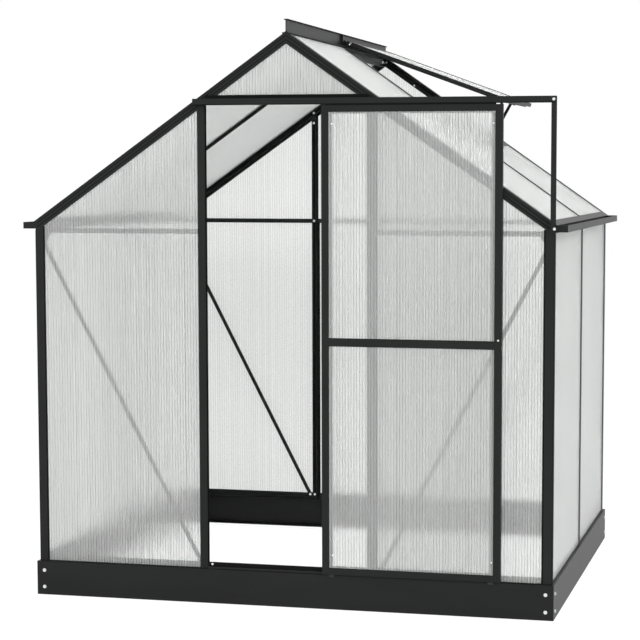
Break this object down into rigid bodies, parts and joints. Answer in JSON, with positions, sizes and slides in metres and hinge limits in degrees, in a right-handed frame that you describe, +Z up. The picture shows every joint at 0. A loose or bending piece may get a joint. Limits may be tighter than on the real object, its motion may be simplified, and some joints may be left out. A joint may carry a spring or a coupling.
{
  "type": "walk-in greenhouse",
  "caption": "Walk-in greenhouse with twin-wall panels in an aluminium frame on a steel base, a sliding gable door, rain gutters and a hinged roof vent.",
  "frame": {"origin": "centre of the base's footprint on the ground, which is the middle of its ground-anchor holes", "axes": "+X across the front to the right as seen from the front, +Y from the door gable to the rear gable, +Z up"},
  "size_m": [1.974, 1.591, 2.068],
  "materials": {
    "coated_aluminium": "satin powder coat, charcoal",
    "coated_steel": "satin powder coat, charcoal",
    "twin_wall_sheet": "frosted twin-wall polycarbonate",
    "zinc_steel": "bright zinc plate",
    "nylon": "moulded nylon, black"
  },
  "bodies": {
    "frame": {"base_front": "coated_steel", "base_rear": "coated_steel", "base_left": "coated_steel", "base_right": "coated_steel", "sill_front": "coated_aluminium", "sill_rear": "coated_aluminium", "sill_left": "coated_aluminium", "sill_right": "coated_aluminium", "corner_post_front_left": "coated_aluminium", "corner_post_front_right": "coated_aluminium", "corner_post_rear_left": "coated_aluminium", "corner_post_rear_right": "coated_aluminium", "door_post_left": "coated_aluminium", "door_post_right": "coated_aluminium", "rear_studs": "coated_aluminium", "side_stud_left": "coated_aluminium", "side_stud_right": "coated_aluminium", "rafter_front_left": "coated_aluminium", "rafter_front_right": "coated_aluminium", "rear_rafters": "coated_aluminium", "rafter_mid_left": "coated_aluminium", "rafter_mid_right": "coated_aluminium", "ridge_bar": "coated_aluminium", "gutter_left": "coated_aluminium", "gutter_right": "coated_aluminium", "door_header": "coated_aluminium", "door_track": "coated_aluminium", "track_post": "coated_aluminium", "front_ties": "coated_steel", "rear_tie": "coated_steel", "front_braces": "coated_steel", "rear_braces": "coated_steel", "vent_sill": "coated_aluminium", "panel_front_left": "twin_wall_sheet", "panel_front_right": "twin_wall_sheet", "panel_front_gable": "twin_wall_sheet", "panels_rear": "twin_wall_sheet", "panels_left": "twin_wall_sheet", "panels_right": "twin_wall_sheet", "roof_panels_left": "twin_wall_sheet", "roof_panel_right_front": "twin_wall_sheet", "roof_panel_right_rear": "twin_wall_sheet", "joint_plates": "coated_steel", "frame_bolts": "zinc_steel"},
    "door": {"door_stile_left": "coated_aluminium", "door_stile_right": "coated_aluminium", "door_rail_top": "coated_aluminium", "door_rail_middle": "coated_aluminium", "door_rail_bottom": "coated_aluminium", "door_panel_upper": "twin_wall_sheet", "door_panel_lower": "twin_wall_sheet", "door_hangers": "coated_steel", "door_guides": "nylon"},
    "roller_left": {"roller_left": "nylon"},
    "roller_right": {"roller_right": "nylon"},
    "vent": {"vent_hinge_rail": "coated_aluminium", "vent_bottom_rail": "coated_aluminium", "vent_side_rails": "coated_aluminium", "vent_panel": "twin_wall_sheet"},
    "vent_stay": {"vent_stay": "coated_aluminium"}
  },
  "joints": [
    {"name": "door_slide", "type": "slide", "parent": "frame", "child": "door", "axis": [1, 0, 0], "range_m": [-0.4475, 0.158]},
    {"name": "roller_left_spin", "type": "hinge", "parent": "door", "child": "roller_left", "pos_m": [0.1355, -0.786, 1.7839], "axis": [0, 1, 0], "continuous": true},
    {"name": "roller_right_spin", "type": "hinge", "parent": "door", "child": "roller_right", "pos_m": [0.7595, -0.786, 1.7839], "axis": [0, 1, 0], "continuous": true},
    {"name": "vent_hinge", "type": "hinge", "parent": "frame", "child": "vent", "pos_m": [0.014, 0.38, 2.038], "axis": [0, -1, 0], "range_deg": [-15, 5]},
    {"name": "vent_stay_pivot", "type": "hinge", "parent": "vent", "child": "vent_stay", "pos_m": [0.58891, 0.47002, 1.81649], "axis": [0, -1, 0], "range_deg": [-5, 15]}
  ],
  "couplings": [
    {"joint": "roller_left_spin", "follows": "door_slide", "rad_per_m": 107.53},
    {"joint": "roller_right_spin", "follows": "door_slide", "rad_per_m": 107.53},
    {"joint": "vent_stay_pivot", "follows": "vent_hinge", "ratio": -1}
  ]
}
